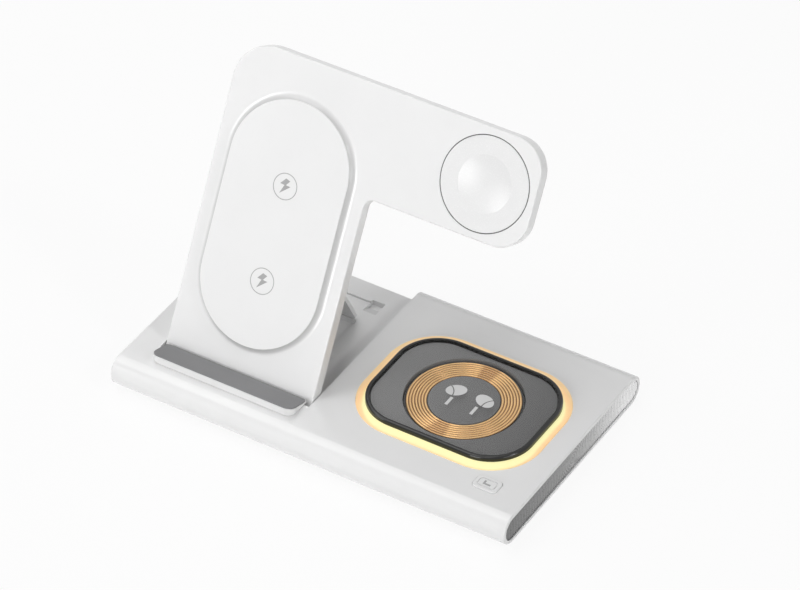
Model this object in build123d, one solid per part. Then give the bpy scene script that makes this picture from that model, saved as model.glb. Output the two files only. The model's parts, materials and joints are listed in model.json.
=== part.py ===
from build123d import *
import os
from math import atan2, cos, degrees, hypot, radians, sin

# A folding three in one wireless charger: a flat base with an earbud pad, a hinged panel that
# carries a phone pad and a watch arm, and a leg that props the panel up from behind.
# Millimetres. +X runs along the base to the right, +Y to the back, +Z up, feet on Z = 0.

# Base
base_length = 165.0
base_depth = 96.7
base_height = 12.2
shell_wall = 1.5
foot_lift = 0.8
end_soft = 0.4

# Clearances
slip_fit = 0.1
seat_gap = 0.05
pin_fit = 0.05

# Folding panel, measured from its hinge axis
panel_share = 0.3812
panel_height = 122.2
panel_thickness = 5.2
panel_lean = 28.0
panel_corner = 15.0
panel_wall = 1.4
front_skin = 1.0
back_plate = 1.0
edge_soft = 0.5
arm_height = 40.1
arm_reach = 63.0
arm_corner = 12.0
inner_corner = 4.0

# Pocket in the base that takes the folded panel
left_strip = 10.4
pocket_floor = 3.8
panel_side_gap = 0.4
panel_floor_gap = 0.3
hinge_setback = 20.4
hinge_front_gap = 0.5
hinge_pin_diameter = 3.0
hinge_pin_depth = 7.0
hinge_boss_wall = 1.5
pocket_wall = 2.0

# Raised phone pad on the panel
pad_side_margin = 7.05
pad_length_share = 0.7529
pad_middle_share = 0.5008
pad_rise = 1.85
pad_skirt = 2.7
pad_wall = 1.5

# Coils behind the phone pad
phone_coil_inner = 18.0
phone_coil_height = 1.0
phone_coil_low_share = 0.2283
phone_coil_pitch_share = 0.3891
phone_coil_spacing = 0.8
phone_shield_margin = 1.0
phone_shield_corner = 10.0
shield_rib = 1.2
shield_rib_length = 30.0
shield_rib_pitch = 20.0

# Watch disc at the end of the arm
watch_rim = 2.9
watch_gap = 0.4
watch_ring_fit = 0.03
watch_ring_sink = 0.1
watch_flange = 0.9
watch_flange_height = 0.8
dish_rim = 6.7
dish_depth = 1.3
watch_coil_inset = 2.7
watch_coil_inner = 12.0
watch_magnet_diameter = 10.0

# Support leg, hinged in a tray in the panel's back
leg_width = 30.6
leg_thickness = 1.5
leg_barrel_radius = 1.0
leg_pin_diameter = 1.0
leg_pivot_share = 0.4746
leg_pivot_in = 0.8
leg_stride_share = 0.957
leg_foot_corner = 0.8
leg_floor_gap = 0.15
leg_tray_gap = 0.5
leg_barrel_gap = 0.25
leg_swing_room = 2.7
tray_wall = 0.9

# Foot well, groove and finger scoop in the pocket's floor
well_depth = 2.2
well_length = 44.0
well_corner = 0.5
groove_behind_foot = 9.45
groove_width = 1.9
groove_depth = 0.9
scoop_length = 7.0
scoop_flat = 2.4
scoop_width = 5.5
scoop_depth = 2.2
scoop_overlap = 1.4
scoop_past_groove = 1.15

# Phone ledge in front of the panel
ledge_front_height = 4.0
ledge_back_height = 0.7
ledge_front_inset = 8.4
ledge_panel_gap = 0.7
ledge_left_inset = 0.9
ledge_right_inset = 1.5
ledge_corner = 3.5
ledge_back_corner = 1.8
ledge_pad_thickness = 0.4
ledge_pad_inset = 0.3
ledge_edge_soft = 0.15

# Earbud pad, placed by the margins round its light ring
light_left_margin = 9.2
light_right_margin = 8.5
light_depth_margin = 19.25
frame_corner = 17.1
frame_rise = 2.75
frame_wall = 1.5
frame_edge_soft = 0.8
window_thickness = 0.7
window_sink = 0.2
window_step = 0.4
tray_floor = 0.8
light_width = 3.4
light_rise = 0.25
light_slope = 0.75
light_flange = 1.0
light_flange_height = 1.0
frame_flange_height = 0.95
frame_flange = 2.6
earbud_coil_turns = 7
earbud_coil_pitch = 1.08
earbud_coil_height = 0.7
earbud_coil_groove = 0.45
earbud_coil_inset = 0.75
earbud_coil_sink = 0.6
earbud_shield_margin = 2.2
earbud_shield_height = 0.6
plate_gap = 0.4
core_gap = 0.3
core_height = 0.55

# Light key
key_inside_light = 7.3
key_before_light = 3.95
key_width = 9.8
key_depth = 6.8
key_corner = 1.8
key_rise = 0.35
key_edge_soft = 0.3
key_gap = 0.15
key_travel = 0.5
key_flange = 0.5
key_flange_height = 0.7
key_stem_diameter = 3.0
key_press_gap = 0.15
key_line_inset = 1.3
key_line_width = 0.35
key_line_depth = 0.3

# End caps
cap_thickness = 2.5
cap_sink = 0.5

# Underside
cover_past_light = 0.7
cover_depth_margin = 7.35
cover_corner = 4.0
cover_lip = 1.5
cover_lip_height = 0.75
foot_diameter = 9.0
foot_recess = 0.6
foot_end_inset = 15.5
foot_side_inset = 17.35
screw_diameter = 2.0
screw_head_diameter = 3.8
screw_head_height = 1.2
screw_length = 5.0
cover_screw_end_inset = 20.0
cover_screw_side_inset = 4.5
boss_diameter = 5.0
boss_room = 0.5

# Electronics in the base
board_thickness = 1.2
board_past_light = 0.2
board_front_margin = 12.0
board_back_margin = 14.3
board_tongue_width = 15.0
board_screw_inset = 4.0
board_screw_spread_y = 18.0
usb_width = 8.94
usb_height = 3.2
usb_length = 7.3
usb_wall = 0.3
usb_tongue_width = 6.7
usb_tongue_height = 0.7
usb_tongue_length = 5.0
usb_slot_gap = 0.35
usb_sink = 0.8
usb_board_overlap = 3.0
switch_size = 6.0
switch_height = 3.5
plunger_diameter = 3.4
plunger_rise = 0.6
led_length = 3.5
led_width = 2.8
led_height = 1.6
led_spread_x = 24.0
chip_sizes = [(9.0, 9.0, 1.0), (7.0, 7.0, 3.0), (6.0, 5.0, 1.0)]
chip_pitch = 16.0

# Places worked out from the sizes above
base_left = -base_length / 2
base_right = base_length / 2
base_front = -base_depth / 2
base_back = base_depth / 2
base_under = foot_lift
base_top = base_under + base_height
base_mid = base_under + base_height / 2

half_panel = panel_thickness / 2
panel_slope = 90.0 - panel_lean
panel_width = panel_share * base_length
pocket_left = base_left + left_strip
panel_left = pocket_left + panel_side_gap
panel_right = panel_left + panel_width
pocket_right = panel_right + panel_side_gap
panel_mid = (panel_left + panel_right) / 2
cavity_left = pocket_right + pocket_wall
pocket_z = base_under + pocket_floor
hinge_y = base_front + hinge_setback
hinge_z = pocket_z + panel_floor_gap + half_panel
pocket_front = hinge_y - half_panel - hinge_front_gap

pad_width = panel_width - 2 * pad_side_margin
pad_length = pad_length_share * panel_height
pad_up = pad_middle_share * panel_height
phone_coil_up = pad_up - phone_coil_low_share * pad_length
phone_coil_pitch = phone_coil_pitch_share * pad_length
phone_coil_outer = phone_coil_pitch - phone_coil_spacing

arm_right = panel_right + arm_reach
watch_diameter = arm_height - 2 * watch_rim
dish_diameter = watch_diameter - 2 * dish_rim
watch_coil_outer = watch_diameter - 2 * watch_coil_inset
watch_x = arm_right - arm_height / 2
watch_up = panel_height - arm_height / 2
skin_inner = half_panel - front_skin
pad_top = half_panel + pad_rise
plate_inner = -half_panel + back_plate

leg_pivot_up = leg_pivot_share * panel_height
leg_stride = leg_stride_share * leg_pivot_up
slope_cos = cos(radians(panel_slope))
slope_sin = sin(radians(panel_slope))
pivot_y = hinge_y + leg_pivot_up * slope_cos + leg_pivot_in * slope_sin
pivot_z = hinge_z + leg_pivot_up * slope_sin - leg_pivot_in * slope_cos
foot_y = hinge_y + leg_stride
foot_z = pocket_z + leg_floor_gap + leg_thickness / 2
leg_length = hypot(foot_y - pivot_y, pivot_z - foot_z)
leg_dip = degrees(atan2(pivot_z - foot_z, foot_y - pivot_y))

tray_low = leg_pivot_up - leg_swing_room
tray_high = leg_pivot_up + leg_length + leg_thickness / 2 + leg_tray_gap
tray_floor_z = -leg_pivot_in + leg_barrel_radius + leg_barrel_gap
tray_front_z = tray_floor_z + tray_wall
tray_half = leg_width / 2 + leg_tray_gap

ledge_front = base_front + ledge_front_inset
face_rise = (base_top - hinge_z - half_panel * slope_cos) / slope_sin
ledge_back = hinge_y + face_rise * slope_cos - half_panel * slope_sin - ledge_panel_gap
seat_front_height = ledge_front_height - ledge_pad_thickness
seat_back_height = ledge_back_height - ledge_pad_thickness

light_left = pocket_right + light_left_margin
light_right = base_right - light_right_margin
light_outer_width = light_right - light_left
light_outer_depth = base_depth - 2 * light_depth_margin
earbud_x = (light_left + light_right) / 2
frame_width = light_outer_width - 2 * light_width
frame_depth = light_outer_depth - 2 * light_width
earbud_shield_diameter = frame_depth - 2 * (frame_wall + window_step + earbud_shield_margin)
earbud_coil_outer = earbud_shield_diameter - 2 * earbud_coil_inset
earbud_coil_inner = earbud_coil_outer - 2 * earbud_coil_turns * earbud_coil_pitch
light_outer_corner = frame_corner + light_width
wall_under = base_top - shell_wall
light_flange_low = wall_under - seat_gap - light_flange_height
frame_low = light_flange_low - seat_gap - frame_flange_height
window_top = base_top + frame_rise - window_sink
window_low = window_top - window_thickness
coil_low = window_low - slip_fit - earbud_coil_sink - earbud_coil_height
shield_low = coil_low - earbud_shield_height

key_x = light_right - key_inside_light
key_y = -light_outer_depth / 2 - key_before_light
key_flange_top = wall_under - seat_gap
key_flange_low = key_flange_top - key_flange_height
board_top = base_mid - usb_height / 2
board_low = board_top - board_thickness
plunger_top = board_top + switch_height + plunger_rise
key_stem_low = plunger_top + key_travel + key_press_gap
cover_top = base_under + shell_wall
cover_width = light_outer_width + 2 * cover_past_light
cover_depth = base_depth - 2 * cover_depth_margin
board_width = light_outer_width + 2 * board_past_light
usb_mouth = base_back - usb_sink
board_front = base_front + board_front_margin
board_back = base_back - board_back_margin
board_mid = (board_front + board_back) / 2

panel_place = Pos(0, hinge_y, hinge_z) * Rot(panel_slope, 0, 0)
leg_place = Pos(panel_mid, pivot_y, pivot_z) * Rot(-leg_dip, 0, 0)


def block(x0, x1, y0, y1, z0, z1):
    """A box between two corners."""
    place = Pos((x0 + x1) / 2, (y0 + y1) / 2, (z0 + z1) / 2)
    return place * Box(x1 - x0, y1 - y0, z1 - z0)


def disc(x, y, z0, z1, diameter):
    """An upright cylinder."""
    return Pos(x, y, (z0 + z1) / 2) * Cylinder(diameter / 2, z1 - z0)


def rod_x(x0, x1, y, z, diameter):
    """A cylinder along X."""
    return Pos((x0 + x1) / 2, y, z) * Rot(0, 90, 0) * Cylinder(diameter / 2, x1 - x0)


def rounded_block(x, y, z0, z1, width, depth, corner):
    """An upright block with round corners in plan."""
    return extrude(Pos(x, y, z0) * RectangleRounded(width, depth, corner), z1 - z0)


def base_run(inset, x0, x1):
    """A length of the base's full round section, inset from its outer face."""
    start = Plane(origin=(x0, 0, base_mid), x_dir=(0, 1, 0), z_dir=(1, 0, 0))
    section = start * SlotOverall(base_depth - 2 * inset, base_height - 2 * inset)
    return extrude(section, x1 - x0)


def corners(spread_x, spread_y, x=0.0, y=0.0):
    """The four corners of a rectangle about a point."""
    return [(x + i * spread_x, y + j * spread_y) for i in (-1, 1) for j in (-1, 1)]


cover_screw_places = corners(
    cover_width / 2 - cover_screw_end_inset, cover_depth / 2 - cover_screw_side_inset, earbud_x
)
foot_places = corners(base_right - foot_end_inset, base_back - foot_side_inset)
board_screw_places = corners(
    board_width / 2 - board_screw_inset, board_screw_spread_y, earbud_x, board_mid
)


def foot_recesses():
    """Shallow round seats for the feet, as cutting solids."""
    return [disc(x, y, base_under - 1, base_under + foot_recess, foot_diameter + 2 * slip_fit)
            for x, y in foot_places]


def cover_opening(clearance):
    """The stepped hole that the bottom cover closes, as a solid."""
    lip = rounded_block(
        earbud_x, 0, base_under, base_under + cover_lip_height,
        cover_width + 2 * clearance, cover_depth + 2 * clearance, cover_corner + clearance,
    )
    through = rounded_block(
        earbud_x, 0, base_under, cover_top,
        cover_width - 2 * cover_lip + 2 * clearance,
        cover_depth - 2 * cover_lip + 2 * clearance,
        cover_corner - cover_lip + clearance,
    )
    return lip + through


def pocket_cuts():
    """The pocket, foot well, groove and finger scoop."""
    leg_left = panel_mid - leg_width / 2 - leg_tray_gap
    leg_right = panel_mid + leg_width / 2 + leg_tray_gap
    pocket = block(pocket_left, pocket_right, pocket_front, base_back + 1, pocket_z, base_top + 1)
    well_back = foot_y - leg_thickness / 2
    well = rounded_block(
        panel_mid, well_back - well_length / 2, pocket_z - well_depth, pocket_z + 1,
        leg_right - leg_left, well_length, well_corner,
    )
    groove_y = foot_y + groove_behind_foot
    groove = block(
        leg_left, leg_right, groove_y, groove_y + groove_width, pocket_z - groove_depth, pocket_z + 1
    )
    scoop_back = groove_y + groove_width + scoop_past_groove
    scoop_left = leg_right - scoop_overlap
    profile = make_face(Polyline(
        (scoop_back, pocket_z + 1),
        (scoop_back, pocket_z - scoop_depth),
        (scoop_back - scoop_flat, pocket_z - scoop_depth),
        (scoop_back - scoop_length, pocket_z),
        (scoop_back - scoop_length, pocket_z + 1),
        close=True,
    ))
    side = Plane(origin=(scoop_left, 0, 0), x_dir=(0, 1, 0), z_dir=(1, 0, 0))
    scoop = extrude(side * profile, scoop_width)
    return [pocket, well, groove, scoop]


def make_base_shell():
    sleeve = base_run(0, base_left, base_right)
    rims = sleeve.edges().filter_by(lambda e: abs(abs(e.center().X) - base_right) < 0.01)
    sleeve = fillet(rims, end_soft)
    shell = sleeve - base_run(shell_wall, cavity_left, base_right + 1)
    shell -= base_run(shell_wall, base_left - 1, base_left + cap_sink + cap_thickness + slip_fit)
    boss_diam = hinge_pin_diameter + 2 * hinge_boss_wall
    shell += rod_x(pocket_right, cavity_left + hinge_boss_wall + pocket_wall, hinge_y, hinge_z, boss_diam)
    for x, y in cover_screw_places:
        shell += disc(x, y, cover_top, wall_under + shell_wall / 2, boss_diameter)
    shell -= pocket_cuts()
    shell -= cover_opening(slip_fit)
    shell -= foot_recesses()
    shell -= rounded_block(
        earbud_x, 0, wall_under - 1, base_top + 1,
        light_outer_width + 2 * slip_fit, light_outer_depth + 2 * slip_fit,
        light_outer_corner + slip_fit,
    )
    shell -= rounded_block(
        key_x, key_y, wall_under - 1, base_top + 1,
        key_width + 2 * key_gap, key_depth + 2 * key_gap, key_corner + key_gap,
    )
    slot_face = Plane(origin=(earbud_x, base_back + 1, base_mid), x_dir=(1, 0, 0), z_dir=(0, -1, 0))
    slot = SlotOverall(usb_width + 2 * usb_slot_gap, usb_height + 2 * usb_slot_gap)
    shell -= extrude(slot_face * slot, shell_wall + 2)
    for x, y in cover_screw_places:
        shell -= disc(x, y, base_under, cover_top + screw_length, screw_diameter + 2 * pin_fit)
    bore = hinge_pin_diameter + 2 * pin_fit
    shell -= rod_x(pocket_left - hinge_pin_depth, pocket_left, hinge_y, hinge_z, bore)
    shell -= rod_x(pocket_right, pocket_right + hinge_pin_depth, hinge_y, hinge_z, bore)
    return shell


def make_bottom_cover():
    cover = cover_opening(0)
    for x, y in board_screw_places:
        cover += disc(x, y, cover_top - seat_gap, board_low, boss_diameter)
    for x, y in board_screw_places:
        cover -= disc(x, y, base_under + cover_lip_height, board_low, screw_diameter + 2 * pin_fit)
    for x, y in cover_screw_places:
        head_top = base_under + screw_head_height
        cover -= disc(x, y, base_under, head_top, screw_head_diameter + 2 * slip_fit)
        cover -= disc(x, y, base_under, cover_top, screw_diameter + 2 * slip_fit)
    return cover - foot_recesses()


def make_end_cap(outer_x, inward):
    """A plug in the sleeve's end, sunk a little below the rim."""
    face_x = outer_x + inward * cap_sink
    back_x = face_x + inward * cap_thickness
    return base_run(shell_wall + slip_fit, min(face_x, back_x), max(face_x, back_x))


def ledge_plan(inset):
    """The ledge's outline in plan, round at its corners, as a tall solid."""
    left = panel_left + ledge_left_inset + inset
    right = panel_right - ledge_right_inset - inset
    front = ledge_front + inset
    back = ledge_back - inset
    corner = ledge_corner - inset
    rear = ledge_back_corner - inset
    outline = FilletPolyline(
        (left, back), (left, front), (right, front), (right, back),
        radius=[rear, corner, corner, rear], close=True,
    )
    plan = Pos(0, 0, base_top) * make_face(outline)
    return extrude(plan, 2 * ledge_front_height)


def ledge_wedge(low_front, low_back, high_front, high_back):
    """A sloping slice along the whole ledge, by its heights above the base's top."""
    side = Plane(origin=(base_left, 0, base_top), x_dir=(0, 1, 0), z_dir=(1, 0, 0))
    profile = make_face(Polyline(
        (ledge_front, low_front), (ledge_back, low_back), (ledge_back, high_back), (ledge_front, high_front),
        close=True,
    ))
    return extrude(side * profile, base_length)


def make_ledge_bar():
    return ledge_plan(0) & ledge_wedge(0, 0, seat_front_height, seat_back_height)


def make_ledge_pad():
    wedge = ledge_wedge(seat_front_height, seat_back_height, ledge_front_height, ledge_back_height)
    pad = ledge_plan(ledge_pad_inset) & wedge
    return fillet(pad.edges().group_by(Axis.Z)[-1], ledge_edge_soft)


def make_feet():
    return [disc(x, y, 0, base_under + foot_recess, foot_diameter) for x, y in foot_places]


def make_screws(places, seat, head_up):
    """Pan head screws: each head bears on seat, and the shank goes the other way."""
    way = 1 if head_up else -1
    screws = []
    for x, y in places:
        ends = sorted((seat, seat + way * screw_head_height))
        head = disc(x, y, ends[0], ends[1], screw_head_diameter)
        ends = sorted((seat, seat - way * (screw_length - screw_head_height)))
        screws.append(head + disc(x, y, ends[0], ends[1], screw_diameter))
    return screws


def make_cover_screws():
    return make_screws(cover_screw_places, base_under + screw_head_height, False)


def make_board_screws():
    shank_room = board_top - base_under - cover_lip_height
    screws = make_screws(board_screw_places, board_top, True)
    limit = block(base_left, base_right, base_front, base_back, board_top - shank_room, base_top)
    return [screw & limit for screw in screws]


def make_main_board():
    plate = block(
        earbud_x - board_width / 2, earbud_x + board_width / 2, board_front, board_back, board_low, board_top
    )
    tongue_back = usb_mouth - usb_length + usb_board_overlap
    half = board_tongue_width / 2
    board = plate + block(earbud_x - half, earbud_x + half, board_back, tongue_back, board_low, board_top)
    for x, y in board_screw_places:
        board -= disc(x, y, board_low, board_top, screw_diameter + 2 * slip_fit)
    for x, y in cover_screw_places:
        board -= disc(x, y, board_low, board_top, boss_diameter + 2 * boss_room)
    return board


def make_usb_socket():
    mouth = Plane(origin=(earbud_x, usb_mouth, base_mid), x_dir=(1, 0, 0), z_dir=(0, -1, 0))
    can = extrude(mouth * SlotOverall(usb_width, usb_height), usb_length)
    hollow = SlotOverall(usb_width - 2 * usb_wall, usb_height - 2 * usb_wall)
    can -= extrude(mouth * hollow, usb_length - usb_wall)
    tongue = mouth.offset(usb_length - usb_wall - usb_tongue_length)
    return can + extrude(tongue * Rectangle(usb_tongue_width, usb_tongue_height), usb_tongue_length)


def make_button_switch():
    half = switch_size / 2
    body = block(key_x - half, key_x + half, key_y - half, key_y + half, board_top, board_top + switch_height)
    return body + disc(key_x, key_y, board_top + switch_height, plunger_top, plunger_diameter)


def make_light_leds():
    """Chips on the board below the front and back runs of the light ring."""
    ring_y = frame_depth / 2 + light_width / 2
    leds = []
    for side in (-1, 1):
        for step in (-0.5, 0, 0.5):
            led = Box(led_length, led_width, led_height, align=(Align.CENTER, Align.CENTER, Align.MIN))
            leds.append(Pos(earbud_x + step * led_spread_x, side * ring_y, board_top) * led)
    return leds


def make_board_chips():
    chips = []
    for index, (length, width, height) in enumerate(chip_sizes):
        chip = Box(length, width, height, align=(Align.CENTER, Align.CENTER, Align.MIN))
        chips.append(Pos(earbud_x + (index - 1) * chip_pitch, board_mid, board_top) * chip)
    return chips


def make_light_guide():
    """Glowing ring, whose top slopes up from the base to the frame."""
    crest = base_top + light_rise + light_slope
    ring = rounded_block(
        earbud_x, 0, light_flange_low, crest, light_outer_width, light_outer_depth, light_outer_corner
    )
    top = ring.faces().sort_by(Axis.Z)[-1]
    ring = chamfer(top.edges(), light_width, light_slope, reference=top)
    ring += rounded_block(
        earbud_x, 0, light_flange_low, light_flange_low + light_flange_height,
        light_outer_width + 2 * light_flange, light_outer_depth + 2 * light_flange,
        light_outer_corner + light_flange,
    )
    return ring - rounded_block(
        earbud_x, 0, light_flange_low - 1, crest + 1,
        frame_width + 2 * slip_fit, frame_depth + 2 * slip_fit, frame_corner + slip_fit,
    )


def frame_block(z0, z1, inset):
    """A block with the earbud frame's outline, inset from its outer face."""
    return rounded_block(
        earbud_x, 0, z0, z1, frame_width - 2 * inset, frame_depth - 2 * inset, frame_corner - inset
    )


def make_pad_frame():
    frame_top = base_top + frame_rise
    frame = frame_block(frame_low, frame_top, 0)
    frame = fillet(frame.edges().group_by(Axis.Z)[-1], frame_edge_soft)
    frame += frame_block(frame_low, frame_low + frame_flange_height, -frame_flange)
    frame -= frame_block(window_low, frame_top + 1, frame_wall)
    frame -= frame_block(shield_low, frame_top + 1, frame_wall + window_step)
    return frame - frame_block(frame_low - 1, shield_low - tray_floor, frame_wall)


def make_pad_window():
    return frame_block(window_low, window_top, frame_wall + slip_fit)


def make_pad_plate():
    """Plate that fills the tray round the coil, just under the window."""
    plate = frame_block(shield_low, window_low - slip_fit, frame_wall + window_step + slip_fit)
    return plate - disc(earbud_x, 0, shield_low - 1, window_low, earbud_shield_diameter + 2 * plate_gap)


def make_coil_core():
    return disc(earbud_x, 0, coil_low, coil_low + core_height, earbud_coil_inner - 2 * core_gap)


def make_earbud_coil():
    """Flat winding: side by side turns, drawn as ridges turned about the pad's centre."""
    top = coil_low + earbud_coil_height
    dip = top - earbud_coil_groove
    points = [(earbud_coil_inner / 2, coil_low), (earbud_coil_inner / 2, dip)]
    for turn in range(earbud_coil_turns):
        start = earbud_coil_inner / 2 + turn * earbud_coil_pitch
        points.append((start + earbud_coil_pitch / 2, top))
        points.append((start + earbud_coil_pitch, dip))
    points.append((earbud_coil_outer / 2, coil_low))
    profile = Plane.XZ * make_face(Polyline(*points, close=True))
    return Pos(earbud_x, 0, 0) * revolve(profile, Axis.Z)


def make_earbud_shield():
    return disc(earbud_x, 0, shield_low, coil_low, earbud_shield_diameter)


def make_hinge_pins():
    length = hinge_pin_depth - slip_fit
    left = rod_x(pocket_left - length, panel_left + length, hinge_y, hinge_z, hinge_pin_diameter)
    right = rod_x(panel_right - length, pocket_right + length, hinge_y, hinge_z, hinge_pin_diameter)
    return [left, right]


def make_light_button():
    top = base_top + key_rise
    key = rounded_block(key_x, key_y, key_flange_low, top, key_width, key_depth, key_corner)
    key = fillet(key.edges().group_by(Axis.Z)[-1], key_edge_soft)
    outer = key_line_inset
    inner = key_line_inset + key_line_width
    line = rounded_block(
        key_x, key_y, top - key_line_depth, top + 1,
        key_width - 2 * outer, key_depth - 2 * outer, key_corner - outer / 2,
    )
    line -= rounded_block(
        key_x, key_y, top - key_line_depth, top + 1,
        key_width - 2 * inner, key_depth - 2 * inner, key_corner - inner / 2,
    )
    key -= line
    key += rounded_block(
        key_x, key_y, key_flange_low, key_flange_top,
        key_width + 2 * key_flange, key_depth + 2 * key_flange, key_corner + key_flange,
    )
    return key + disc(key_x, key_y, key_stem_low, key_flange_low, key_stem_diameter)


def panel_outline(inset, low):
    """The panel's outline in its own plane, with its lower edge at low."""
    left = panel_left + inset
    right = panel_right - inset
    top = panel_height - inset
    arm_low = panel_height - arm_height + inset
    arm_end = arm_right - inset
    outer = arm_corner - inset
    return make_face(FilletPolyline(
        (left, low), (right, low), (right, arm_low), (arm_end, arm_low), (arm_end, top), (left, top),
        radius=[0, 0, inner_corner + inset, outer, outer, panel_corner - inset], close=True,
    ))


def pad_stadium(outset):
    """The phone pad's outline in the panel's plane."""
    return Pos(panel_mid, pad_up) * SlotOverall(pad_length + 2 * outset, pad_width + 2 * outset, 90)


def make_phone_pad():
    """The raised pad, with a hollow skirt that sweeps down to the panel's face."""
    cove = (pad_skirt**2 + pad_rise**2) / (2 * pad_rise)
    block_under = extrude(Pos(0, 0, half_panel) * pad_stadium(pad_skirt), pad_rise)
    path = (Pos(0, 0, half_panel + cove) * pad_stadium(pad_skirt)).wire()
    start = Plane(origin=path @ 0, z_dir=path % 0)
    return block_under - sweep(start * Circle(cove), path)


def make_panel_front():
    slab = extrude(Pos(0, 0, -half_panel) * panel_outline(0, 0), panel_thickness)
    slab += rod_x(panel_left, panel_right, 0, 0, panel_thickness)
    rims = slab.edges().filter_by(lambda e: abs(abs(e.center().Z) - half_panel) < 0.01)
    rims = rims.filter_by(lambda e: e.center().Y > 0.01)
    slab = fillet(rims, edge_soft)
    front = slab + make_phone_pad()
    cavity_low = half_panel + panel_wall
    front -= extrude(Pos(0, 0, -panel_thickness) * panel_outline(panel_wall, cavity_low),
                     panel_thickness + skin_inner)
    front -= extrude(Pos(0, 0, 0) * pad_stadium(-pad_wall), pad_top - front_skin)
    front -= disc(watch_x, watch_up, 0, panel_thickness, watch_diameter + 2 * watch_gap)
    bore = hinge_pin_diameter + 2 * pin_fit
    front -= rod_x(panel_left, panel_left + hinge_pin_depth, 0, 0, bore)
    front -= rod_x(panel_right - hinge_pin_depth, panel_right, 0, 0, bore)
    return panel_place * front


def make_panel_back():
    plate_low = half_panel + panel_wall + slip_fit
    plate = extrude(Pos(0, 0, -half_panel) * panel_outline(panel_wall + slip_fit, plate_low), back_plate)
    outer = tray_half + tray_wall
    plate += block(panel_mid - outer, panel_mid + outer, tray_low - tray_wall, tray_high + tray_wall,
                   -half_panel, tray_front_z)
    plate -= block(panel_mid - tray_half, panel_mid + tray_half, tray_low, tray_high,
                   -half_panel - 1, tray_floor_z)
    for step in (-0.5, 0.5):
        rib_y = phone_coil_up + step * shield_rib_pitch
        plate += block(
            panel_mid - shield_rib_length / 2, panel_mid + shield_rib_length / 2,
            rib_y - shield_rib / 2, rib_y + shield_rib / 2, -half_panel, tray_front_z,
        )
    pin_hole = leg_pin_diameter + 2 * pin_fit
    plate -= rod_x(panel_mid - outer, panel_mid + outer, leg_pivot_up, -leg_pivot_in, pin_hole)
    return panel_place * plate


def phone_stack():
    """Heights of the coil shield and of the coils behind the phone pad's skin."""
    coil_top = pad_top - front_skin - slip_fit
    coil_bottom = coil_top - phone_coil_height
    return tray_front_z + seat_gap, coil_bottom - seat_gap, coil_bottom, coil_top


def make_phone_shield():
    low, high, _, _ = phone_stack()
    width = phone_coil_outer + 2 * phone_shield_margin
    middle = phone_coil_up + phone_coil_pitch / 2
    length = width + phone_coil_pitch
    return panel_place * rounded_block(panel_mid, middle, low, high, width, length, phone_shield_corner)


def make_phone_coil(up):
    _, _, low, high = phone_stack()
    ring = disc(panel_mid, up, low, high, phone_coil_outer)
    return panel_place * (ring - disc(panel_mid, up, low - 1, high + 1, phone_coil_inner))


def make_watch_disc():
    flange_top = skin_inner - seat_gap
    flange_low = flange_top - watch_flange_height
    cap = disc(watch_x, watch_up, flange_low, half_panel, watch_diameter)
    cap += disc(watch_x, watch_up, flange_low, flange_top, watch_diameter + 2 * (watch_gap + watch_flange))
    ball = ((dish_diameter / 2) ** 2 + dish_depth**2) / (2 * dish_depth)
    return panel_place * (cap - Pos(watch_x, watch_up, half_panel + ball - dish_depth) * Sphere(ball))


def make_watch_ring():
    """Thin ring that fills the gap round the watch disc."""
    flange_top = skin_inner - seat_gap
    outer = watch_diameter + 2 * (watch_gap - watch_ring_fit)
    ring = disc(watch_x, watch_up, flange_top, half_panel - watch_ring_sink, outer)
    inner = watch_diameter + 2 * watch_ring_fit
    return panel_place * (ring - disc(watch_x, watch_up, 0, panel_thickness, inner))


def watch_stack():
    """Lower and upper faces of what lies between the back plate and the watch disc."""
    return plate_inner + seat_gap, skin_inner - seat_gap - watch_flange_height - seat_gap


def make_watch_coil():
    low, high = watch_stack()
    ring = disc(watch_x, watch_up, low, high, watch_coil_outer)
    return panel_place * (ring - disc(watch_x, watch_up, low - 1, high + 1, watch_coil_inner))


def make_watch_magnet():
    low, high = watch_stack()
    return panel_place * disc(watch_x, watch_up, low, high, watch_magnet_diameter)


def make_leg_pin():
    outer = tray_half + tray_wall
    return panel_place * rod_x(
        panel_mid - outer, panel_mid + outer, leg_pivot_up, -leg_pivot_in, leg_pin_diameter
    )


def make_support_leg():
    half = leg_width / 2
    thick = leg_thickness / 2
    outline = make_face(FilletPolyline(
        (-half, 0), (half, 0), (half, leg_length), (-half, leg_length),
        radius=[0, 0, leg_foot_corner, leg_foot_corner], close=True,
    ))
    leg = extrude(Pos(0, 0, -thick) * outline, leg_thickness)
    leg += rod_x(-half, half, 0, 0, 2 * leg_barrel_radius)
    leg += rod_x(-half + leg_foot_corner, half - leg_foot_corner, leg_length, 0, leg_thickness)
    leg -= rod_x(-half, half, 0, 0, leg_pin_diameter + 2 * pin_fit)
    return leg_place * leg


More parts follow.
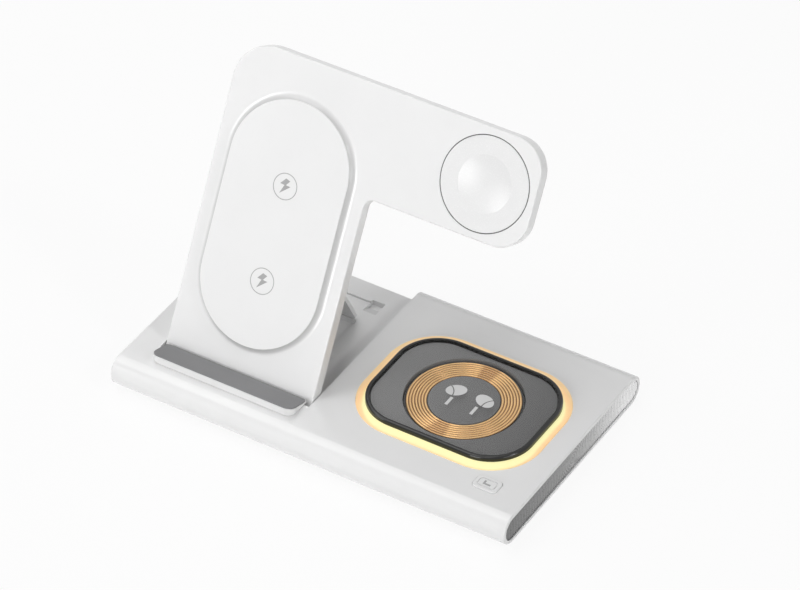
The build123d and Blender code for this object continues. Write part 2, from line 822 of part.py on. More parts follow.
nodes = {
    "base_shell": make_base_shell(),
    "bottom_cover": make_bottom_cover(),
    "left_end_cap": make_end_cap(base_left, 1),
    "right_end_cap": make_end_cap(base_right, -1),
    "ledge_bar": make_ledge_bar(),
    "ledge_pad": make_ledge_pad(),
    "rubber_feet": make_feet(),
    "cover_screws": make_cover_screws(),
    "board_screws": make_board_screws(),
    "main_board": make_main_board(),
    "board_chips": make_board_chips(),
    "usb_socket": make_usb_socket(),
    "button_switch": make_button_switch(),
    "light_leds": make_light_leds(),
    "light_guide": make_light_guide(),
    "pad_frame": make_pad_frame(),
    "pad_window": make_pad_window(),
    "pad_plate": make_pad_plate(),
    "earbud_shield": make_earbud_shield(),
    "coil_core": make_coil_core(),
    "earbud_coil": make_earbud_coil(),
    "hinge_pins": make_hinge_pins(),
    "panel_front": make_panel_front(),
    "panel_back": make_panel_back(),
    "phone_shield": make_phone_shield(),
    "phone_coil_lower": make_phone_coil(phone_coil_up),
    "phone_coil_upper": make_phone_coil(phone_coil_up + phone_coil_pitch),
    "watch_disc": make_watch_disc(),
    "watch_ring": make_watch_ring(),
    "watch_coil": make_watch_coil(),
    "watch_magnet": make_watch_magnet(),
    "leg_pin": make_leg_pin(),
    "support_leg": make_support_leg(),
    "light_button": make_light_button(),
}

os.makedirs("parts", exist_ok=True)
for name, shape in nodes.items():
    solids = shape if isinstance(shape, list) else shape.solids()
    export_step(Compound(children=list(solids)), f"parts/{name}.step")

print("hinge axis", round(hinge_y, 3), round(hinge_z, 3))
print("leg pivot", round(pivot_y, 3), round(pivot_z, 3), "length", round(leg_length, 3))
print("leg dip", round(leg_dip, 3), "coupling", round((leg_dip + panel_slope) / panel_slope, 5))
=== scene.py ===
import json
import math

import bmesh
import bpy
from mathutils import Matrix, Vector


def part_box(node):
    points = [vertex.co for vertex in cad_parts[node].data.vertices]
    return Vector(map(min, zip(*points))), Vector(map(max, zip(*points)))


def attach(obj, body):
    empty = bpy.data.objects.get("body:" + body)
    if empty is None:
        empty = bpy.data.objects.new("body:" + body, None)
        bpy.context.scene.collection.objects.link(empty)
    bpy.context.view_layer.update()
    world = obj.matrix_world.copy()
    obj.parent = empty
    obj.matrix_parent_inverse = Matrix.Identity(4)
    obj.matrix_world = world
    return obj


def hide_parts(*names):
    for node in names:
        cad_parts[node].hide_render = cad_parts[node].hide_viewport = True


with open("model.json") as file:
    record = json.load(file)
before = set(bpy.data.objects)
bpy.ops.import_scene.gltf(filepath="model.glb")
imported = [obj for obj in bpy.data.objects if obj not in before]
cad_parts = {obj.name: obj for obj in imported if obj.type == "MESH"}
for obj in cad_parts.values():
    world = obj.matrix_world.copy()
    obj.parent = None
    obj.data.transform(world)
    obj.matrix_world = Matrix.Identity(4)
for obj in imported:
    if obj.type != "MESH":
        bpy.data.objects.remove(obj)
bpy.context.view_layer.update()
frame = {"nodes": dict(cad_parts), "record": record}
nodes = frame["nodes"]
joints = {joint["name"]: joint for joint in frame["record"]["behaviour"]["joints"]}

MM = 0.001

# The leaning panel's own frame: X across, Y up the panel from the hinge, Z out of its front face.
HINGE = Vector(joints["panel_hinge"]["pos_m"])
SLOPE = math.radians(joints["panel_hinge"]["range_deg"][1])
PANEL = Matrix.Translation((0, HINGE.y, HINGE.z)) @ Matrix.Rotation(SLOPE, 4, "X")

# The phone pad, up the panel from the hinge, the skirt round it, and how far its face stands out.
PAD_WIDTH = 48.80 * MM
PAD_LENGTH = 92.00 * MM
PAD_MIDDLE = 61.20 * MM
PAD_SKIRT = 2.7 * MM
PAD_FACE = 4.45 * MM

# Printed marks lie just clear of their face.
MARK_LIFT = 0.02 * MM
MARK_THICKNESS = 0.03 * MM

# The light ring's edges, as distances outside the window's outline, and the window's corner.
WINDOW_CORNER = 15.5 * MM
RING_INNER = 1.7 * MM
RING_OUTER = 5.0 * MM

# How much more the ring glows towards the right and the front.
GLOW_RIGHT = 0.38
GLOW_FRONT = 0.72

# The phone ledge's corners in plan, and its height along the back.
LEDGE_CORNER = 3.5 * MM
LEDGE_BACK_CORNER = 1.8 * MM
LEDGE_BACK_HEIGHT = 0.3 * MM

# The end caps' ribs: spacing, height, the sheet they stand on, its gap to the cap and its margins.
RIB_PITCH = 1.1 * MM
RIB_HEIGHT = 0.27 * MM
RIB_SHEET = 0.03 * MM
RIB_GAP = 0.02 * MM
RIB_MARGIN = 0.15 * MM
RIB_END_MARGIN = 0.2 * MM

COIL_TURNS = 7
COIL_PITCH = 1.08 * MM

# Noise in mouldings, in cycles per metre, and the depth of their texture.
SLOW_NOISE = 45.0
FINE_NOISE = 2500.0
TEXTURE_DEPTH = 0.03 * MM

# Sockets of a colour mix node.
MIX_ONE = 6
MIX_TWO = 7
MIX_RESULT = 2


# Shading

def shader(name):
    """A new material with its node tree and main shader."""
    mat = bpy.data.materials.new(name)
    mat.use_nodes = True
    tree = mat.node_tree
    return mat, tree, tree.nodes["Principled BSDF"]


def add(tree, kind, **values):
    """A node with settings by attribute name or, where there is none, by input name."""
    node = tree.nodes.new(kind)
    for key, value in values.items():
        if hasattr(node, key):
            setattr(node, key, value)
        else:
            node.inputs[key.replace("_", " ")].default_value = value
    return node


def place(tree):
    """Position on the part, in metres."""
    return add(tree, "ShaderNodeTexCoord").outputs["Object"]


def coordinates(tree):
    """X, Y and Z of the position on the part, in metres."""
    axes = add(tree, "ShaderNodeSeparateXYZ")
    tree.links.new(place(tree), axes.inputs["Vector"])
    return axes.outputs["X"], axes.outputs["Y"], axes.outputs["Z"]


def math_node(tree, operation, a, b=None, c=None):
    """One step of arithmetic on up to three values, each a number or another node's output."""
    node = add(tree, "ShaderNodeMath", operation=operation)
    for socket, value in zip(node.inputs, (a, b, c)):
        if value is None:
            continue
        if isinstance(value, (int, float)):
            socket.default_value = value
        else:
            tree.links.new(value, socket)
    return node.outputs[0]


def distance(tree, a, b):
    """Length of the way that goes a along one axis and b along another."""
    squares = math_node(tree, "ADD", math_node(tree, "POWER", a, 2.0), math_node(tree, "POWER", b, 2.0))
    return math_node(tree, "SQRT", squares)


def axis_reach(tree, value, low, high, radius):
    """How far a coordinate lies past the straight run of a rounded outline, signed, or zero within it."""
    off_middle = math_node(tree, "SUBTRACT", value, (low + high) / 2)
    past = math_node(tree, "SUBTRACT", math_node(tree, "ABSOLUTE", off_middle), (high - low) / 2 - radius)
    past = math_node(tree, "MAXIMUM", past, 0.0)
    return math_node(tree, "MULTIPLY", past, math_node(tree, "SIGN", off_middle))


def noise(tree, scale, detail=3.0):
    node = add(tree, "ShaderNodeTexNoise", Scale=scale, Detail=detail)
    tree.links.new(place(tree), node.inputs["Vector"])
    return node.outputs["Fac"]


def fit(tree, value, from_low, from_high, to_low, to_high):
    """Maps one range to another, held at its ends."""
    node = add(tree, "ShaderNodeMapRange")
    tree.links.new(value, node.inputs["Value"])
    limits = (("From Min", from_low), ("From Max", from_high), ("To Min", to_low), ("To Max", to_high))
    for key, number in limits:
        node.inputs[key].default_value = number
    return node.outputs["Result"]


def spread(tree, value, low, high):
    """Maps the middle of a noise to a range."""
    return fit(tree, value, 0.3, 0.7, low, high)


def ramp(tree, value, stops):
    """Turns a value into a colour, by stops of position and colour."""
    node = add(tree, "ShaderNodeValToRGB")
    while len(node.color_ramp.elements) < len(stops):
        node.color_ramp.elements.new(0.5)
    for element, (position, color) in zip(node.color_ramp.elements, stops):
        element.position = position
        element.color = (*color, 1.0)
    tree.links.new(value, node.inputs["Fac"])
    return node.outputs["Color"]


def multiplied(tree, one, two):
    """Product of two colours."""
    node = add(tree, "ShaderNodeMix", data_type="RGBA", blend_type="MULTIPLY")
    node.inputs["Factor"].default_value = 1.0
    tree.links.new(one, node.inputs[MIX_ONE])
    tree.links.new(two, node.inputs[MIX_TWO])
    return node.outputs[MIX_RESULT]


def bump(tree, bsdf, height, strength):
    node = add(tree, "ShaderNodeBump", Strength=strength, Distance=TEXTURE_DEPTH)
    tree.links.new(height, node.inputs["Height"])
    tree.links.new(node.outputs["Normal"], bsdf.inputs["Normal"])


def grey(level):
    return (level, level, level)


def tones(color, step):
    """A darker and a lighter tone of a colour."""
    dark = tuple(max(0.0, c * (1 - step)) for c in color)
    light = tuple(min(1.0, c * (1 + step)) for c in color)
    return dark, light


def moulded(name, color, rough, grain=FINE_NOISE, texture=0.06, step=0.008, specular=0.5):
    """Moulded plastic or rubber: slow drift of tone, fine texture and uneven gloss."""
    mat, tree, bsdf = shader(name)
    dark, light = tones(color, step)
    drift = noise(tree, SLOW_NOISE, 2.0)
    tree.links.new(ramp(tree, drift, [(0.35, dark), (0.65, light)]), bsdf.inputs["Base Color"])
    fine = noise(tree, grain)
    tree.links.new(spread(tree, fine, rough - 0.03, rough + 0.03), bsdf.inputs["Roughness"])
    bump(tree, bsdf, fine, texture)
    bsdf.inputs["Specular IOR Level"].default_value = specular
    return mat


def metal(name, color, rough):
    """Plain metal with blotches of tone and gloss."""
    mat, tree, bsdf = shader(name)
    dark, light = tones(color, 0.08)
    drift = noise(tree, 900.0)
    tree.links.new(ramp(tree, drift, [(0.3, dark), (0.7, light)]), bsdf.inputs["Base Color"])
    tree.links.new(spread(tree, drift, rough - 0.06, rough + 0.06), bsdf.inputs["Roughness"])
    bsdf.inputs["Metallic"].default_value = 1.0
    return mat


def smoked_window():
    """Thin clear cover with a faint smoke tint."""
    mat, tree, bsdf = shader("smoked_window")
    drift = noise(tree, 60.0, 2.0)
    tree.links.new(ramp(tree, drift, [(0.35, grey(0.05)), (0.65, grey(0.07))]), bsdf.inputs["Base Color"])
    tree.links.new(spread(tree, drift, 0.05, 0.09), bsdf.inputs["Roughness"])
    bsdf.inputs["Specular IOR Level"].default_value = 1.0
    bsdf.inputs["Alpha"].default_value = 0.1
    return mat


def panel_plastic():
    """Coated white moulding with painted shade in a grey band round the phone pad's foot."""
    mat, tree, bsdf = shader("white_panel")
    x, y, z = coordinates(tree)
    across = math_node(tree, "SUBTRACT", x, HINGE.x)
    rise_y = math_node(tree, "MULTIPLY", math_node(tree, "SUBTRACT", y, HINGE.y), math.cos(SLOPE))
    rise_z = math_node(tree, "MULTIPLY", math_node(tree, "SUBTRACT", z, HINGE.z), math.sin(SLOPE))
    up = math_node(tree, "ADD", rise_y, rise_z)
    end_up = axis_reach(tree, up, PAD_MIDDLE - PAD_LENGTH / 2, PAD_MIDDLE + PAD_LENGTH / 2, PAD_WIDTH / 2)
    outside = math_node(tree, "SUBTRACT", distance(tree, across, end_up), PAD_WIDTH / 2)
    # Painted shade: a grey band on the skirt just outside the phone pad's edge.
    pad_foot_painted_shade = ramp(tree, math_node(tree, "DIVIDE", outside, PAD_SKIRT), [
        (0.0, grey(0.82)), (0.06, grey(0.55)), (0.45, grey(0.63)), (0.80, grey(0.82)),
    ])
    drift = ramp(tree, noise(tree, SLOW_NOISE, 2.0), [(0.35, grey(0.984)), (0.65, grey(1.0))])
    tree.links.new(multiplied(tree, pad_foot_painted_shade, drift), bsdf.inputs["Base Color"])
    fine = noise(tree, FINE_NOISE)
    tree.links.new(spread(tree, fine, 0.17, 0.23), bsdf.inputs["Roughness"])
    bump(tree, bsdf, fine, 0.06)
    bsdf.inputs["Coat Weight"].default_value = 0.7
    bsdf.inputs["Coat Roughness"].default_value = 0.35
    return mat


def light_ring():
    """Frosted guide, lit from below: pale yellow inside and in front, peach outside and behind."""
    mat, tree, bsdf = shader("light_ring")
    x, y, _ = coordinates(tree)
    low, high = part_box("pad_window")
    across = axis_reach(tree, x, low[0], high[0], WINDOW_CORNER)
    along = axis_reach(tree, y, low[1], high[1], WINDOW_CORNER)
    reach = distance(tree, across, along)
    inner = fit(tree, math_node(tree, "SUBTRACT", reach, WINDOW_CORNER), RING_OUTER, RING_INNER, 0.0, 1.0)
    rightward = math_node(tree, "MULTIPLY", math_node(tree, "DIVIDE", across, reach), GLOW_RIGHT)
    forward = math_node(tree, "MULTIPLY", math_node(tree, "DIVIDE", along, reach), -GLOW_FRONT)
    level = math_node(tree, "ADD", inner, math_node(tree, "ADD", rightward, forward))
    glow = ramp(tree, math_node(tree, "MULTIPLY_ADD", level, 0.5, 0.25), [
        (0.25, (0.78, 0.52, 0.27)), (0.45, (0.94, 0.57, 0.28)), (0.60, (1.0, 0.68, 0.33)),
        (0.70, (1.0, 0.94, 0.48)), (0.78, (1.0, 1.0, 0.52)),
    ])
    tree.links.new(glow, bsdf.inputs["Emission Color"])
    bsdf.inputs["Emission Strength"].default_value = 0.72
    frost = ramp(tree, noise(tree, 300.0), [(0.3, (0.30, 0.23, 0.12)), (0.7, (0.36, 0.28, 0.15))])
    tree.links.new(frost, bsdf.inputs["Base Color"])
    tree.links.new(spread(tree, noise(tree, 1800.0), 0.45, 0.6), bsdf.inputs["Roughness"])
    return mat


def copper_winding():
    """Bare copper of the coils inside."""
    mat, tree, bsdf = shader("copper_winding")
    drift = noise(tree, 700.0)
    tone = ramp(tree, drift, [(0.3, (0.84, 0.47, 0.19)), (0.7, (0.92, 0.55, 0.24))])
    tree.links.new(tone, bsdf.inputs["Base Color"])
    tree.links.new(spread(tree, drift, 0.2, 0.3), bsdf.inputs["Roughness"])
    bsdf.inputs["Metallic"].default_value = 1.0
    return mat


def wire_painted_sheen_shade():
    """Copper under enamel, with painted light: painted highlights on the crowns, painted shade on the brown
    flanks, and painted highlight streaks at each turn's front and back.
    """
    mat, tree, bsdf = shader("wire_painted_sheen_shade")
    x, y, _ = coordinates(tree)
    low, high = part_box("earbud_coil")
    off_x = math_node(tree, "SUBTRACT", x, (low[0] + high[0]) / 2)
    off_y = math_node(tree, "SUBTRACT", y, (low[1] + high[1]) / 2)
    radius = distance(tree, off_x, off_y)
    inward = math_node(tree, "SUBTRACT", (high[0] - low[0]) / 2, radius)
    across_wire = math_node(tree, "FRACT", math_node(tree, "DIVIDE", inward, COIL_PITCH))
    off_crown = math_node(tree, "ABSOLUTE", math_node(tree, "SUBTRACT", across_wire, 0.5))
    # Painted highlight along each wire's crown and painted shade down its brown flanks.
    crown = ramp(tree, math_node(tree, "MULTIPLY", off_crown, 2.0), [
        (0.0, (1.0, 0.68, 0.32)), (0.5, (1.0, 0.60, 0.25)),
        (0.8, (0.52, 0.27, 0.10)), (1.0, (0.36, 0.18, 0.07)),
    ])
    # Painted highlight streaks where a turn faces the front or the back, with a darker line right at the
    # middle of each.
    facing = math_node(tree, "ABSOLUTE", math_node(tree, "DIVIDE", off_y, radius))
    uneven = math_node(tree, "MULTIPLY_ADD", noise(tree, 90.0), 0.02, facing)
    painted_streak_highlight = ramp(tree, uneven, [
        (0.0, grey(0.92)), (0.86, grey(0.88)), (0.95, grey(1.0)), (0.985, grey(1.0)),
        (1.0, (0.66, 0.60, 0.55)),
    ])
    tree.links.new(multiplied(tree, crown, painted_streak_highlight), bsdf.inputs["Base Color"])
    tree.links.new(spread(tree, noise(tree, 60.0), 0.28, 0.34), bsdf.inputs["Roughness"])
    bsdf.inputs["Metallic"].default_value = 0.5
    return mat


def plate_painted_light():
    """Plate under the window with painted light, paler at its left end than at its right."""
    mat, tree, bsdf = shader("grey_plate")
    x, _, _ = coordinates(tree)
    low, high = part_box("pad_plate")
    # Painted light: paler at the left end, darker at the right.
    level = fit(tree, x, low[0], high[0], 0.0, 0.95)
    level = math_node(tree, "MULTIPLY_ADD", noise(tree, 120.0), 0.05, level)
    tree.links.new(ramp(tree, level, [(0.0, grey(0.31)), (1.0, grey(0.13))]), bsdf.inputs["Base Color"])
    tree.links.new(spread(tree, noise(tree, 300.0), 0.41, 0.49), bsdf.inputs["Roughness"])
    return mat


def end_cap_painted_light():
    """Satin plug with painted light, grey at the front to white at the back, and painted shade between its
    fine ribs.
    """
    mat, tree, bsdf = shader("grey_end")
    _, y, z = coordinates(tree)
    low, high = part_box("right_end_cap")
    # Painted light: grey at the front of the cap, white at its back.
    level = fit(tree, y, low[1], high[1], 0.0, 0.97)
    level = math_node(tree, "MULTIPLY_ADD", noise(tree, 500.0), 0.03, level)
    drift = ramp(tree, level, [
        (0.0, grey(0.20)), (0.4, grey(0.34)), (0.65, grey(0.58)), (0.9, grey(1.0)),
    ])
    # Painted shade in the valleys between the ribs.
    off_y = math_node(tree, "SUBTRACT", y, (low[1] + high[1]) / 2)
    off_z = math_node(tree, "SUBTRACT", z, (low[2] + high[2]) / 2)
    turn = math_node(tree, "MULTIPLY", distance(tree, off_y, off_z), 2 * math.pi / RIB_PITCH)
    wave = math_node(tree, "MULTIPLY_ADD", math_node(tree, "COSINE", turn), 0.5, 0.5)
    ridge = ramp(tree, wave, [(0.0, grey(0.58)), (0.7, grey(1.0))])
    tree.links.new(multiplied(tree, drift, ridge), bsdf.inputs["Base Color"])
    tree.links.new(spread(tree, noise(tree, FINE_NOISE), 0.26, 0.34), bsdf.inputs["Roughness"])
    bsdf.inputs["Metallic"].default_value = 0.5
    return mat


white_shell = moulded("white_shell", grey(0.82), 0.16)
white_panel = panel_plastic()
white_disc = moulded("white_disc", grey(0.82), 0.26, specular=0.4)
white_back = moulded("white_back", grey(0.80), 0.45)
grey_end = end_cap_painted_light()
grey_strip = moulded("grey_strip", (0.215, 0.215, 0.22), 0.6, grain=3500.0, texture=0.3, step=0.04)
grey_foot = moulded("grey_foot", grey(0.22), 0.75, grain=1800.0, texture=0.3, step=0.05)
grey_ring = moulded("grey_ring", grey(0.06), 0.5, step=0.1)
grey_plate = plate_painted_light()
black_frame = moulded("black_frame", (0.008, 0.008, 0.007), 0.12, texture=0.03, step=0.1, specular=0.4)
ferrite = moulded("ferrite", (0.035, 0.034, 0.033), 0.6, step=0.15)
board_mask = moulded("board_mask", (0.03, 0.16, 0.08), 0.4, grain=1200.0, step=0.15)
chip_black = moulded("chip_black", grey(0.02), 0.55, step=0.15)
lamp_chip = moulded("lamp_chip", (0.80, 0.76, 0.55), 0.4, step=0.05)
print_light = moulded("print_light", grey(0.66), 0.5, step=0.03)
print_grey = moulded("print_grey", grey(0.36), 0.55, step=0.05)
steel = metal("steel", (0.60, 0.60, 0.61), 0.32)
plated = metal("plated", (0.72, 0.72, 0.73), 0.2)
window = smoked_window()
ring_light = light_ring()
copper = copper_winding()
wire = wire_painted_sheen_shade()

FINISH = {
    "base_shell": white_shell, "ledge_bar": white_shell, "light_button": white_shell,
    "panel_front": white_panel, "watch_disc": white_disc,
    "panel_back": white_back, "support_leg": white_back, "bottom_cover": white_back,
    "left_end_cap": grey_end, "right_end_cap": grey_end,
    "ledge_pad": grey_strip, "rubber_feet": grey_foot,
    "pad_frame": black_frame, "pad_window": window, "light_guide": ring_light,
    "pad_plate": grey_plate, "coil_core": grey_plate, "watch_ring": grey_ring,
    "earbud_shield": ferrite, "phone_shield": ferrite,
    "earbud_coil": copper, "phone_coil_lower": copper, "phone_coil_upper": copper, "watch_coil": copper,
    "main_board": board_mask, "board_chips": chip_black, "button_switch": chip_black, "light_leds": lamp_chip,
    "cover_screws": steel, "board_screws": steel, "usb_socket": steel, "hinge_pins": steel, "leg_pin": steel,
    "watch_magnet": plated,
}
for name, obj in nodes.items():
    mat = FINISH[name]
    if obj.data.materials:
        for index in range(len(obj.data.materials)):
            obj.data.materials[index] = mat
    else:
        obj.data.materials.append(mat)


# Printed marks, ledge, wires and ribs

def piece(name, bm, mat, body, matrix=None):
    """Turns a bmesh into a piece of the part that rides on a body."""
    if matrix is not None:
        bmesh.ops.transform(bm, matrix=matrix, verts=bm.verts)
    bmesh.ops.recalc_face_normals(bm, faces=bm.faces)
    mesh = bpy.data.meshes.new(name)
    bm.to_mesh(mesh)
    bm.free()
    mesh.materials.append(mat)
    obj = bpy.data.objects.new(name, mesh)
    bpy.context.scene.collection.objects.link(obj)
    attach(obj, body)
    return obj


def prism(bm, points, z0, z1):
    """A flat solid with the given outline."""
    low = [bm.verts.new((x, y, z0)) for x, y in points]
    high = [bm.verts.new((x, y, z1)) for x, y in points]
    bm.faces.new(low[::-1])
    bm.faces.new(high)
    for i in range(len(points)):
        j = (i + 1) % len(points)
        bm.faces.new((low[i], low[j], high[j], high[i]))


def annulus(bm, x, y, inner, outer, z0, z1, count=96):
    """A flat ring."""
    turn = [2 * math.pi * i / count for i in range(count)]
    rings = []
    for radius, z in ((inner, z0), (outer, z0), (outer, z1), (inner, z1)):
        rings.append([bm.verts.new((x + radius * math.cos(a), y + radius * math.sin(a), z)) for a in turn])
    for one, two in zip(rings, rings[1:] + rings[:1]):
        for i in range(count):
            j = (i + 1) % count
            bm.faces.new((one[i], one[j], two[j], two[i]))


# A lightning flash about its middle, and the circle round it, in millimetres.
FLASH = (
    (-0.35, 2.95), (1.50, 2.40), (0.15, 0.58), (2.10, 0.42),
    (-1.68, -2.94), (-0.40, 0.46), (-2.20, 0.62),
)
CIRCLE_INNER = 4.62
CIRCLE_OUTER = 4.90


def charge_mark(name, x, up):
    """A lightning flash in a thin circle, printed on the phone pad."""
    low = PAD_FACE + MARK_LIFT
    high = low + MARK_THICKNESS
    bm = bmesh.new()
    prism(bm, [((x + a) * MM, (up + b) * MM) for a, b in FLASH], low, high)
    annulus(bm, x * MM, up * MM, CIRCLE_INNER * MM, CIRCLE_OUTER * MM, low, high)
    piece(name, bm, print_grey, "panel", PANEL)


charge_mark("charge_mark_upper", -39.6, 76.0)
charge_mark("charge_mark_lower", -39.2, 40.2)


def bar(x0, y0, x1, y1, width):
    """Corners of a straight bar, in metres, from sizes in millimetres."""
    run = Vector((x1 - x0, y1 - y0))
    side = Vector((-run.y, run.x)).normalized() * (width / 2)
    ends = [Vector((x0, y0)), Vector((x1, y1))]
    corners = [ends[0] + side, ends[0] - side, ends[1] - side, ends[1] + side]
    return [(p.x * MM, p.y * MM) for p in corners]


def bud_half(x, y, angle, side, count=24):
    """One half of an oval earbud head that is split across by a bowed line; side is 1 for the round end."""
    along = 3.9
    across = 2.85
    middle = -0.7 if side > 0 else -1.1
    bow = 0.65
    edge = math.acos((middle - bow) / along)
    turn = edge if side > 0 else math.pi - edge
    points = []
    for i in range(count + 1):
        a = turn * (2 * i / count - 1) + (0.0 if side > 0 else math.pi)
        points.append((along * math.cos(a), across * math.sin(a)))
    top = points[-1][1]
    for i in range(1, count):
        v = top * (1 - 2 * i / count)
        points.append((middle - bow * (v / top) ** 2, v))
    c = math.cos(math.radians(angle))
    s = math.sin(math.radians(angle))
    return [((x + u * c - v * s) * MM, (y + u * s + v * c) * MM) for u, v in points]


# The earbuds' heads and stems, in millimetres: X, Y and angle of each head, and X of its stem.
BUDS = ((33.2, 1.7, 34, 33.85), (44.9, 1.85, 156.5, 44.1))
STEM_TOP = -2.35
STEM_FOOT = -6.85
STEM_WIDTH = 1.2


def earbud_mark():
    """Two plain earbuds, each a split oval head with a short stem, printed on the window."""
    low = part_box("pad_window")[1][2] + MARK_LIFT
    high = low + MARK_THICKNESS
    bm = bmesh.new()
    for x, y, angle, stem in BUDS:
        prism(bm, bud_half(x, y, angle, 1), low, high)
        prism(bm, bud_half(x, y, angle, -1), low, high)
        prism(bm, bar(stem, STEM_TOP, stem, STEM_FOOT, STEM_WIDTH), low, high)
    mark = piece("earbud_mark", bm, print_light, "base")
    mark.visible_shadow = False


earbud_mark()


def rounded_outline(low, high, front, back, inset, count=8):
    """Points of a rectangle in plan, round at the front and back by their own radii, inset all round."""
    corners = (
        (low[0], low[1], front, 180), (high[0], low[1], front, 270),
        (high[0], high[1], back, 0), (low[0], high[1], back, 90),
    )
    points = []
    for x, y, radius, start in corners:
        middle_x = x + radius if x == low[0] else x - radius
        middle_y = y + radius if y == low[1] else y - radius
        reach = radius - inset
        for i in range(count + 1):
            a = math.radians(start + 90 * i / count)
            points.append((middle_x + reach * math.cos(a), middle_y + reach * math.sin(a)))
    return points


# How the ledge's foot rounds under: share of its height, and inset in millimetres.
LEDGE_FOOT = ((0.0, 0.45), (0.04, 0.30), (0.10, 0.16), (0.18, 0.06), (0.28, 0.0), (1.0, 0.0))


def ledge_body():
    """The phone ledge with its lower edge rounded under, in place of its sharp footed solid."""
    low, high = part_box("ledge_bar")
    bm = bmesh.new()
    rings = []
    for share, inset in LEDGE_FOOT:
        ring = []
        for x, y in rounded_outline(low, high, LEDGE_CORNER, LEDGE_BACK_CORNER, inset * MM):
            back = (y - low[1]) / (high[1] - low[1])
            height = (high[2] - low[2]) * (1 - back) + LEDGE_BACK_HEIGHT * back
            ring.append(bm.verts.new((x, y, low[2] + share * height)))
        rings.append(ring)
    for one, two in zip(rings, rings[1:]):
        for i in range(len(one)):
            j = (i + 1) % len(one)
            bm.faces.new((one[i], one[j], two[j], two[i])).smooth = True
    bm.faces.new(rings[0][::-1])
    bm.faces.new(rings[-1])
    obj = piece("ledge_body", bm, white_shell, "base")
    first_on_top = len(obj.data.vertices) - len(rings[-1])
    for edge in obj.data.edges:
        edge.use_edge_sharp = min(edge.vertices) >= first_on_top
    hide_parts("ledge_bar")


ledge_body()


def key_mark():
    """A plain corner tick, printed on the light key."""
    low_corner, high_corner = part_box("light_button")
    x = (low_corner[0] + high_corner[0]) / 2 / MM
    y = (low_corner[1] + high_corner[1]) / 2 / MM
    low = high_corner[2] + MARK_LIFT
    width = 0.75
    foot = bar(x - 1.5, y - 0.55, x + 1.5, y - 0.55, width)
    upright = bar(x - 1.12, y - 0.15, x - 1.12, y + 1.1, width)
    bm = bmesh.new()
    for outline in (foot, upright):
        prism(bm, outline, low, low + MARK_THICKNESS)
    piece("key_mark", bm, print_grey, "key")


key_mark()


def wire_profile(height, count=10):
    """Section of one wire, across and up: upright sides below a round crown."""
    half = 0.495 * COIL_PITCH
    shoulder = 0.3 * height
    crown = height - shoulder
    points = [(-half, 0.0)]
    for k in range(count + 1):
        a = math.pi * k / count
        points.append((-half * math.cos(a), shoulder + crown * math.sin(a)))
    points.append((half, 0.0))
    return points


def earbud_winding(steps=160):
    """The earbud pad's coil as close rings of rounded wire, in place of its ridged solid."""
    low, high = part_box("earbud_coil")
    outer = (high[0] - low[0]) / 2
    middle_x = (low[0] + high[0]) / 2
    middle_y = (low[1] + high[1]) / 2
    profile = wire_profile(high[2] - low[2])
    bm = bmesh.new()
    for turn in range(COIL_TURNS):
        radius = outer - (turn + 0.5) * COIL_PITCH
        rings = []
        for i in range(steps):
            a = 2 * math.pi * i / steps
            c = math.cos(a)
            s = math.sin(a)
            rings.append([bm.verts.new((middle_x + (radius + u) * c, middle_y + (radius + u) * s, low[2] + v))
                          for u, v in profile])
        for one, two in zip(rings, rings[1:] + rings[:1]):
            for k in range(len(profile)):
                m = (k + 1) % len(profile)
                bm.faces.new((one[k], one[m], two[m], two[k])).smooth = 0 < k < len(profile) - 2
    obj = piece("earbud_winding", bm, wire, "base")
    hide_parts("earbud_coil")


earbud_winding()


def cap_ribs(name, node, outward, columns=460, rows=12):
    """Fine circular ribs about the middle of an end cap, one step below the sleeve's rim."""
    low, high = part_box(node)
    face = high[0] if outward > 0 else low[0]
    middle_y = (low[1] + high[1]) / 2
    middle_z = (low[2] + high[2]) / 2
    radius = (high[2] - low[2]) / 2 - RIB_MARGIN
    straight = (high[1] - low[1]) / 2 - RIB_MARGIN - radius
    bm = bmesh.new()
    grids = []
    for layer in (0, 1):
        grid = []
        for i in range(columns + 1):
            y = (straight + radius - RIB_END_MARGIN) * (2 * i / columns - 1)
            past = max(abs(y) - straight, 0.0)
            reach = math.sqrt(max(radius**2 - past**2, 0.0))
            line = []
            for k in range(rows + 1):
                z = reach * (2 * k / rows - 1)
                ridge = 0.5 + 0.5 * math.cos(2 * math.pi * math.hypot(y, z) / RIB_PITCH)
                lift = RIB_GAP + layer * (RIB_SHEET + RIB_HEIGHT * ridge)
                line.append(bm.verts.new((face + outward * lift, middle_y + y, middle_z + z)))
            grid.append(line)
        grids.append(grid)
    for grid in grids:
        for i in range(columns):
            for k in range(rows):
                bm.faces.new((grid[i][k], grid[i + 1][k], grid[i + 1][k + 1], grid[i][k + 1]))
    back, front = grids
    rim = [(i, 0) for i in range(columns)] + [(columns, k) for k in range(rows)]
    rim += [(i, rows) for i in range(columns, 0, -1)] + [(0, k) for k in range(rows, 0, -1)]
    for (i, k), (m, n) in zip(rim, rim[1:] + rim[:1]):
        bm.faces.new((back[i][k], back[m][n], front[m][n], front[i][k]))
    for patch in bm.faces:
        patch.smooth = True
    piece(name, bm, grey_end, "base")


cap_ribs("right_cap_ribs", "right_end_cap", 1)
cap_ribs("left_cap_ribs", "left_end_cap", -1)


# Floor, light and camera

# How much of the floor is plain white, in view and in reflections. The rest takes the light and the shadow.
FLOOR_IN_VIEW = 0.9
FLOOR_IN_GLOSS = 1.0
FLOOR_REACH = 4.0
FILL_LIGHT = 0.01
WHITE = (1.0, 1.0, 1.0, 1.0)


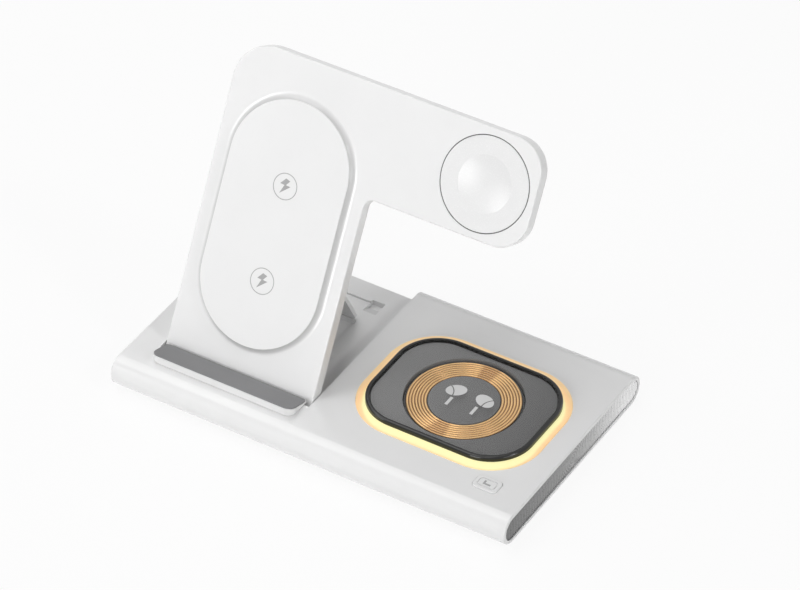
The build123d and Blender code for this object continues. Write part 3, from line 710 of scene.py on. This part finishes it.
def pale_floor():
    """A pale floor that shows the camera near white and still takes the part's shadow."""
    mat = bpy.data.materials.new("pale_floor")
    mat.use_nodes = True
    tree = mat.node_tree
    tree.nodes.clear()
    paths = add(tree, "ShaderNodeLightPath")
    gloss = math_node(tree, "MAXIMUM", paths.outputs["Is Glossy Ray"], paths.outputs["Is Transmission Ray"])
    gloss = math_node(tree, "MULTIPLY", gloss, FLOOR_IN_GLOSS)
    view = math_node(tree, "MULTIPLY", paths.outputs["Is Camera Ray"], FLOOR_IN_VIEW)
    share = math_node(tree, "MAXIMUM", view, gloss)
    plain = add(tree, "ShaderNodeBsdfDiffuse", Color=(0.9, 0.9, 0.9, 1.0))
    white = add(tree, "ShaderNodeEmission", Strength=1.0)
    both = add(tree, "ShaderNodeMixShader")
    out = add(tree, "ShaderNodeOutputMaterial")
    tree.links.new(share, both.inputs["Fac"])
    tree.links.new(plain.outputs["BSDF"], both.inputs[1])
    tree.links.new(white.outputs["Emission"], both.inputs[2])
    tree.links.new(both.outputs["Shader"], out.inputs["Surface"])
    return mat


bm = bmesh.new()
bmesh.ops.create_grid(bm, x_segments=4, y_segments=4, size=FLOOR_REACH)
floor_mesh = bpy.data.meshes.new("floor")
bm.to_mesh(floor_mesh)
bm.free()
floor_mesh.materials.append(pale_floor())
floor = bpy.data.objects.new("floor", floor_mesh)
bpy.context.scene.collection.objects.link(floor)


def studio_world():
    """An even, dim fill light, with a white background in view and in gloss."""
    world = bpy.data.worlds.new("studio")
    world.use_nodes = True
    tree = world.node_tree
    tree.nodes.clear()
    paths = add(tree, "ShaderNodeLightPath")
    seen = math_node(tree, "MAXIMUM", paths.outputs["Is Camera Ray"], paths.outputs["Is Transmission Ray"])
    seen = math_node(tree, "MAXIMUM", seen, paths.outputs["Is Glossy Ray"])
    soft = add(tree, "ShaderNodeBackground", Color=WHITE, Strength=FILL_LIGHT)
    white = add(tree, "ShaderNodeBackground", Color=WHITE, Strength=1.0)
    both = add(tree, "ShaderNodeMixShader")
    out = add(tree, "ShaderNodeOutputWorld")
    tree.links.new(seen, both.inputs["Fac"])
    tree.links.new(soft.outputs["Background"], both.inputs[1])
    tree.links.new(white.outputs["Background"], both.inputs[2])
    tree.links.new(both.outputs["Shader"], out.inputs["Surface"])
    return world


bpy.context.scene.world = studio_world()


def softbox(name, spot, width, height, watts):
    """A soft lamp, sizes in metres, turned towards the middle of the part."""
    data = bpy.data.lights.new(name, "AREA")
    data.shape = "RECTANGLE"
    data.size = width
    data.size_y = height
    data.energy = watts
    lamp = bpy.data.objects.new(name, data)
    lamp.location = spot
    lamp.rotation_euler = (Vector(MIDDLE) - Vector(spot)).to_track_quat("-Z", "Y").to_euler()
    bpy.context.scene.collection.objects.link(lamp)


MIDDLE = (0.0, 0.0, 0.04)
softbox("front_softbox", (0.0, -1.50, 0.41), 0.6, 0.6, 8.0)
softbox("left_softbox", (-1.05, -1.00, 0.60), 0.6, 0.6, 5.5)
softbox("high_softbox", (-0.70, 0.20, 1.38), 1.5, 1.0, 11.2)
softbox("top_softbox", (0.0, -0.50, 1.45), 0.8, 0.6, 3.3)
softbox("right_softbox", (1.44, -0.39, 0.43), 0.8, 0.6, 4.5)
softbox("back_softbox", (0.77, 1.22, 0.55), 0.9, 0.7, 2.0)
softbox("small_softbox", (1.05, 0.0, 1.00), 0.2, 0.2, 3.1)

CAMERA_SPOT = (0.6479, -1.0382, 1.0643)
CAMERA_HEADING = (-0.4022, 0.6552, -0.6394)

camera_data = bpy.data.cameras.new("camera")
camera_data.sensor_width = 36.0
camera_data.lens = 201.6
camera = bpy.data.objects.new("camera", camera_data)
camera.location = CAMERA_SPOT
camera.rotation_euler = Vector(CAMERA_HEADING).to_track_quat("-Z", "Y").to_euler()
bpy.context.scene.collection.objects.link(camera)
bpy.context.scene.camera = camera
bpy.context.scene.view_settings.view_transform = "Standard"
